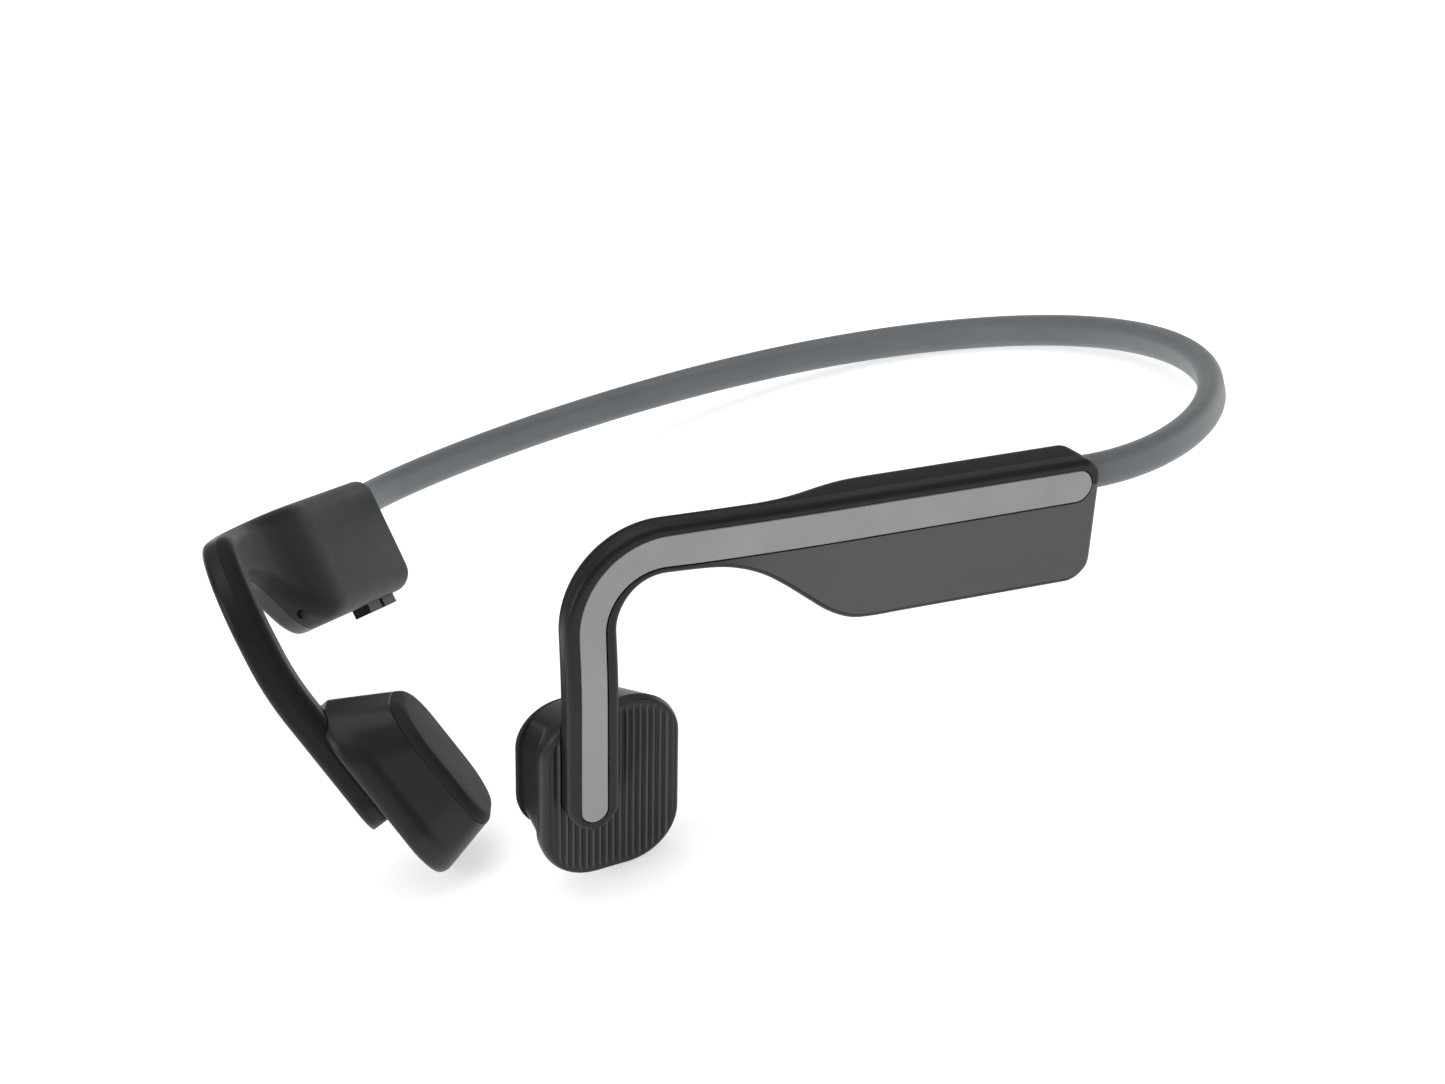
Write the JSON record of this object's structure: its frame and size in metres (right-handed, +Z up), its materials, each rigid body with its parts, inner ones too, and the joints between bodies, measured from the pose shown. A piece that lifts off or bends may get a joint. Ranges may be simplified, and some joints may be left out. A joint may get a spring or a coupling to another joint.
{
  "type": "bone conduction headphones",
  "caption": "Open-ear bone conduction headphones: silicone-covered neckband, slim rear pods, ear hooks with a light inlay and drafted transducers with ribbed faces, at rest on a table.",
  "frame": {"origin": "On the table, under the middle of the bounding box, with the object lying on both transducers and the rear of the neckband.", "axes": "+Z up from the table, -Y towards the front where the transducers are, +X towards the wearer's left."},
  "size_m": [0.132, 0.1478, 0.0481],
  "materials": {
    "shell": "fine satin moulded surface",
    "face_shell": "fine satin moulded surface",
    "ribbed": "satin ribs",
    "inlay": "silver-grey satin paint",
    "band_silicone": "matte silicone",
    "pad_silicone": "soft matte silicone",
    "key_rubber": "matte",
    "steel": "plain",
    "titanium": "drawn wire",
    "magnet_nickel": "nickel plate",
    "copper": "enamelled winding",
    "cable_jacket": "smooth",
    "board": "solder mask",
    "cell_foil": "foil",
    "nylon": "natural",
    "lens": "frosted",
    "mesh": "woven"
  },
  "bodies": {
    "neckband": {"neckband_cable": "cable_jacket", "neckband_sleeve": "band_silicone", "neckband_wire": "titanium"},
    "left_side": {"left_battery": "cell_foil", "left_battery_board": "board", "left_contact_pad": "pad_silicone", "left_function_switch": "steel", "left_hook_cable": "cable_jacket", "left_inner_shell": "shell", "left_magnet": "magnet_nickel", "left_outer_shell": "face_shell", "left_pole_plate": "steel", "left_spring_plate": "steel", "left_stripe_inlay": "inlay", "left_transducer_housing": "shell", "left_voice_coil": "copper", "left_wire_anchor": "nylon", "left_yoke": "steel"},
    "right_side": {"right_antenna": "copper", "right_contact_pad": "pad_silicone", "right_hook_cable": "cable_jacket", "right_inner_shell": "shell", "right_magnet": "magnet_nickel", "right_main_board": "board", "right_microphone": "steel", "right_microphone_mesh": "mesh", "right_outer_shell": "face_shell", "right_pole_plate": "steel", "right_radio_shield": "steel", "right_ribbed_cover": "ribbed", "right_spring_plate": "steel", "right_status_light_lens": "lens", "right_stripe_inlay": "inlay", "right_transducer_housing": "shell", "right_usb_port": "steel", "right_voice_coil": "copper", "right_volume_switches": "steel", "right_wire_anchor": "nylon", "right_yoke": "steel"},
    "function_button": {"left_function_button": "ribbed"},
    "volume_up_button": {"right_volume_up_button": "key_rubber"},
    "volume_down_button": {"right_volume_down_button": "key_rubber"},
    "usb_cover": {"right_usb_cover": "key_rubber"}
  },
  "joints": [
    {"name": "left_flex", "type": "hinge", "parent": "neckband", "child": "left_side", "pos_m": [0.0478, 0.05003, 0.00661], "axis": [0, 0.2314, 0.9729], "range_deg": [-1, 28], "stiffness_Nm_per_rad": 0.27, "deforming": ["neckband_sleeve", "neckband_wire", "neckband_cable"]},
    {"name": "right_flex", "type": "hinge", "parent": "neckband", "child": "right_side", "pos_m": [-0.0478, 0.05003, 0.00661], "axis": [0, -0.2314, -0.9729], "range_deg": [-1, 28], "stiffness_Nm_per_rad": 0.27, "deforming": ["neckband_sleeve", "neckband_wire", "neckband_cable"]},
    {"name": "function_button_press", "type": "slide", "parent": "left_side", "child": "function_button", "axis": [-0.74, 0.6016, 0.3009], "range_m": [0, 0.0003], "stiffness_N_per_m": 2500},
    {"name": "volume_up_press", "type": "slide", "parent": "right_side", "child": "volume_up_button", "axis": [-0.3171, 0.2602, 0.912], "range_m": [0, 0.0003], "stiffness_N_per_m": 2500},
    {"name": "volume_down_press", "type": "slide", "parent": "right_side", "child": "volume_down_button", "axis": [-0.3171, 0.2602, 0.912], "range_m": [0, 0.0003], "stiffness_N_per_m": 2500},
    {"name": "usb_cover_hinge", "type": "hinge", "parent": "right_side", "child": "usb_cover", "pos_m": [-0.04574, -0.03504, 0.01981], "axis": [-0.8713, -0.4598, -0.1718], "range_deg": [0, 100], "stiffness_Nm_per_rad": 0.002}
  ]
}
